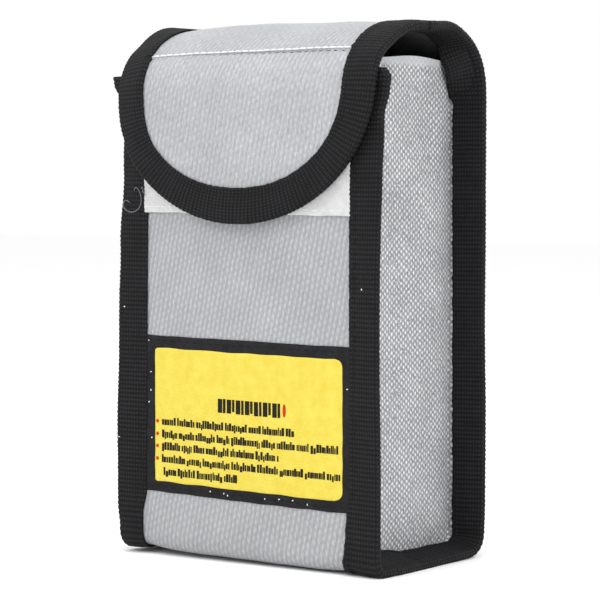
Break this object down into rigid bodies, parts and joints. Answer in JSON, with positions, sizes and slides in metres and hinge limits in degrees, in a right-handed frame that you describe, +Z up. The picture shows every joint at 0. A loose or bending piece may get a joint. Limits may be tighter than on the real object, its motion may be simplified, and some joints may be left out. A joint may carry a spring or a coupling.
{
  "type": "lipo safe bag",
  "caption": "Upright fire-resistant cloth pouch for a lithium battery pack, with boxed gussets, taped edges and a round hook-and-loop flap that folds over the mouth.",
  "frame": {"origin": "middle of the base, on the surface that the pouch stands on, under the middle of its overall width and depth", "axes": "+Z up, along the tallest side; +X across the width, to the right of someone who faces the flap; -Y is the front with the flap and the label"},
  "size_m": [0.082, 0.0504, 0.1366],
  "materials": {
    "cloth_silver": "coated glass-fibre satin weave, silver grey, semi-matt",
    "lining_dark": "plain woven lining, near black, matt",
    "tape_black": "ribbed grosgrain tape, black, slight sheen",
    "loop_white": "brushed loop pile, white, matt",
    "hook_dark": "moulded hook pile, black",
    "label_border": "woven label edge, black",
    "label_yellow": "woven label, yellow, matt",
    "thread_grey": "sewing thread, grey",
    "thread_black": "sewing thread, black"
  },
  "bodies": {
    "pouch": {"front_panel": "cloth_silver", "bottom_panel": "cloth_silver", "back_panel": "cloth_silver", "gusset_right": "cloth_silver", "gusset_left": "cloth_silver", "lining_front": "lining_dark", "lining_bottom": "lining_dark", "lining_back": "lining_dark", "lining_right": "lining_dark", "lining_left": "lining_dark", "binding_front_right": "tape_black", "binding_front_left": "tape_black", "binding_bottom_right": "tape_black", "binding_bottom_left": "tape_black", "binding_back_right": "tape_black", "binding_back_left": "tape_black", "loop_strip": "loop_white", "label_patch": "label_border", "label_field": "label_yellow", "thread_loop_strip": "thread_grey", "thread_label": "thread_black", "thread_binding_right": "thread_black", "thread_binding_left": "thread_black"},
    "lid": {"lid_panel": "cloth_silver", "lid_lining": "lining_dark", "lid_binding_right": "tape_black", "lid_binding_left": "tape_black", "thread_flap_line": "thread_grey", "thread_lid_right": "thread_black", "thread_lid_left": "thread_black"},
    "tongue": {"tongue_panel": "cloth_silver", "tongue_lining": "lining_dark", "tongue_binding": "tape_black", "hook_patch": "hook_dark", "thread_tongue": "thread_black"}
  },
  "joints": [
    {"name": "lid_fold", "type": "hinge", "parent": "pouch", "child": "lid", "pos_m": [0, 0.02007, 0.13152], "axis": [-1, 0, 0], "range_deg": [0, 165]},
    {"name": "flap_fold", "type": "hinge", "parent": "lid", "child": "tongue", "pos_m": [0, -0.02091, 0.12972], "axis": [-1, 0, 0], "range_deg": [0, 95]}
  ]
}
